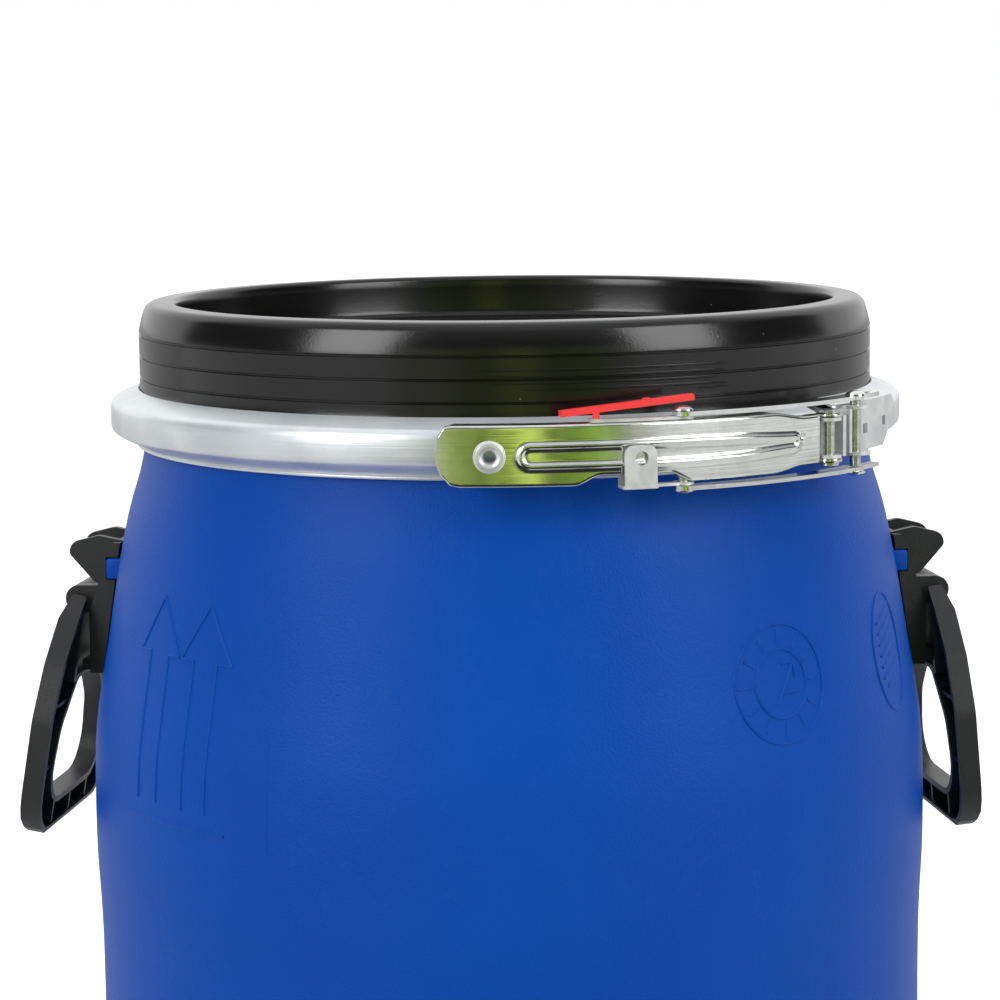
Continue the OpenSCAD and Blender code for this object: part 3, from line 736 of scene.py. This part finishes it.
def glow(name, source, *stops):
    """A dull surface that glows by its height or from side to side, with stops of (position, colour)."""
    material, tree, shader, here = begin(name, (0.0, 0.0, 0.0), 1.0)
    shader.inputs["Specular IOR Level"].default_value = 0.0
    colours = add(tree, "ShaderNodeValToRGB")
    line = colours.color_ramp
    while len(line.elements) < len(stops):
        line.elements.new(0.5)
    for element, (place, colour) in zip(line.elements, stops):
        element.position = place
        element.color = (*colour, 1)
    split = add(tree, "ShaderNodeSeparateXYZ")
    tree.links.new(here, split.inputs["Vector"])
    if source == "sideways":
        leaves = add(tree, "ShaderNodeTexNoise", in_Scale=1.6, in_Detail=3.0)
        tree.links.new(here, leaves.inputs["Vector"])
        shift = math_node(tree, "MULTIPLY", math_node(tree, "SUBTRACT", leaves.outputs["Fac"], 0.5), 0.7)
        place = math_node(tree, "MULTIPLY", math_node(tree, "ADD", split.outputs["X"], 1.1), 0.31)
        tree.links.new(math_node(tree, "ADD", place, shift), colours.inputs["Fac"])
    else:
        tree.links.new(math_node(tree, "MULTIPLY", split.outputs["Z"], 0.2), colours.inputs["Fac"])
    tree.links.new(colours.outputs["Color"], shader.inputs["Emission Color"])
    shader.inputs["Emission Strength"].default_value = 1.0
    return material


def wall_around(name, points, first, last, material, dims=False):
    """A wall about the drum from one angle to another, counted from the front; points in metres."""
    mesh = bmesh.new()
    made = [mesh.verts.new((r, 0, z)) for r, z in points]
    edges = [mesh.edges.new(pair) for pair in zip(made, made[1:])]
    bmesh.ops.rotate(mesh, verts=made, cent=(0, 0, 0), matrix=about_axis(first - 90))
    bmesh.ops.spin(mesh, geom=made + edges, angle=math.radians(last - first), steps=48, **AXIS)
    unseen(finished(name, mesh, material, None), dims)


floor()
room_air = glow("room_air", "height", (0.0, (0.85, 0.86, 0.88)), (0.12, (0.8, 0.81, 0.83)), (0.2, (0.06, 0.06, 0.065)),
                (0.55, (0.06, 0.06, 0.065)), (0.75, (0.44, 0.46, 0.48)), (0.97, (0.78, 0.8, 0.82)))
wall_around("dim_room", [(4.6, 0.02), (4.6, 3.2), (3.6, 4.4), (0.4, 4.9)], -116, 116, room_air, True)
garden = glow("garden", "sideways", (0.0, (0.5, 0.52, 0.4)), (0.1, (0.36, 0.46, 0.11)), (0.27, (0.1, 0.15, 0.03)),
              (0.42, (0.85, 1.05, 0.2)), (0.56, (0.07, 0.1, 0.03)), (0.7, (0.3, 0.5, 0.06)), (0.84, (0.3, 0.3, 0.26)),
              (0.97, (0.9, 0.92, 0.86)))
wall_around("garden_window", [(3.1, -0.0001), (3.1, 1.5)], -32, 40, garden)
dark_cloth = glow("dark_cloth", "height", (0.0, (0.03, 0.03, 0.03)), (1.0, (0.05, 0.05, 0.05)))
wall_around("dark_table_edge", [(0.45, 0.0006), (3.0, 0.0006)], -34, 42, dark_cloth)


def softbox(name, place, width, height, watts):
    """A soft lamp turned to the drum's middle. The top one stays out of reflections."""
    lamp = bpy.data.lights.new(name, "AREA")
    lamp.shape = "RECTANGLE"
    lamp.size, lamp.size_y, lamp.energy = width, height, watts
    holder = bpy.data.objects.new(name, lamp)
    scene.collection.objects.link(holder)
    holder.location = place
    holder.visible_glossy = name != "softbox_top"
    holder.rotation_euler = (MIDDLE_OF_DRUM - Vector(place)).to_track_quat("-Z", "Y").to_euler()


MIDDLE_OF_DRUM = Vector((0, 0, 0.45))
softbox("softbox_left", (-2.2, -2.0, 1.75), 1.4, 1.8, 46)
softbox("softbox_right", (2.3, -1.7, 1.75), 1.4, 1.8, 40)
softbox("softbox_top", (0, 0.4, 3.0), 2.4, 2.4, 40)
world = bpy.data.worlds.new("studio_air")
scene.world = world
world.use_nodes = True
backdrop = world.node_tree.nodes["Background"]
backdrop.inputs["Color"].default_value = (1, 1, 1, 1)
backdrop.inputs["Strength"].default_value = 1.0

# camera: 1.53 m in front of the drum's axis, a little above the lid, looking slightly down
pitch, yaw, roll = math.radians(7.46), math.radians(-0.11), math.radians(-0.65)
ahead = Vector((math.sin(yaw) * math.cos(pitch), math.cos(yaw) * math.cos(pitch), -math.sin(pitch)))
level = Vector((math.cos(yaw), -math.sin(yaw), 0))
upright = level.cross(ahead)
across = level * math.cos(roll) + upright * math.sin(roll)
above = upright * math.cos(roll) - level * math.sin(roll)
turn = Matrix((across, above, -ahead)).transposed().to_4x4()
lens = bpy.data.cameras.new("studio_camera")
lens.lens, lens.sensor_width, lens.clip_start, lens.clip_end = 115.2, 36.0, 0.05, 60.0
camera = bpy.data.objects.new("studio_camera", lens)
scene.collection.objects.link(camera)
camera.matrix_world = Matrix.Translation((0, -1.530, 0.7318)) @ turn
scene.camera = camera

# a CAD node still shown takes the bracket's zinc
for node in nodes.values():
    if not node.hide_render:
        node.data.materials.clear()
        node.data.materials.append(BRACKET_ZINC)
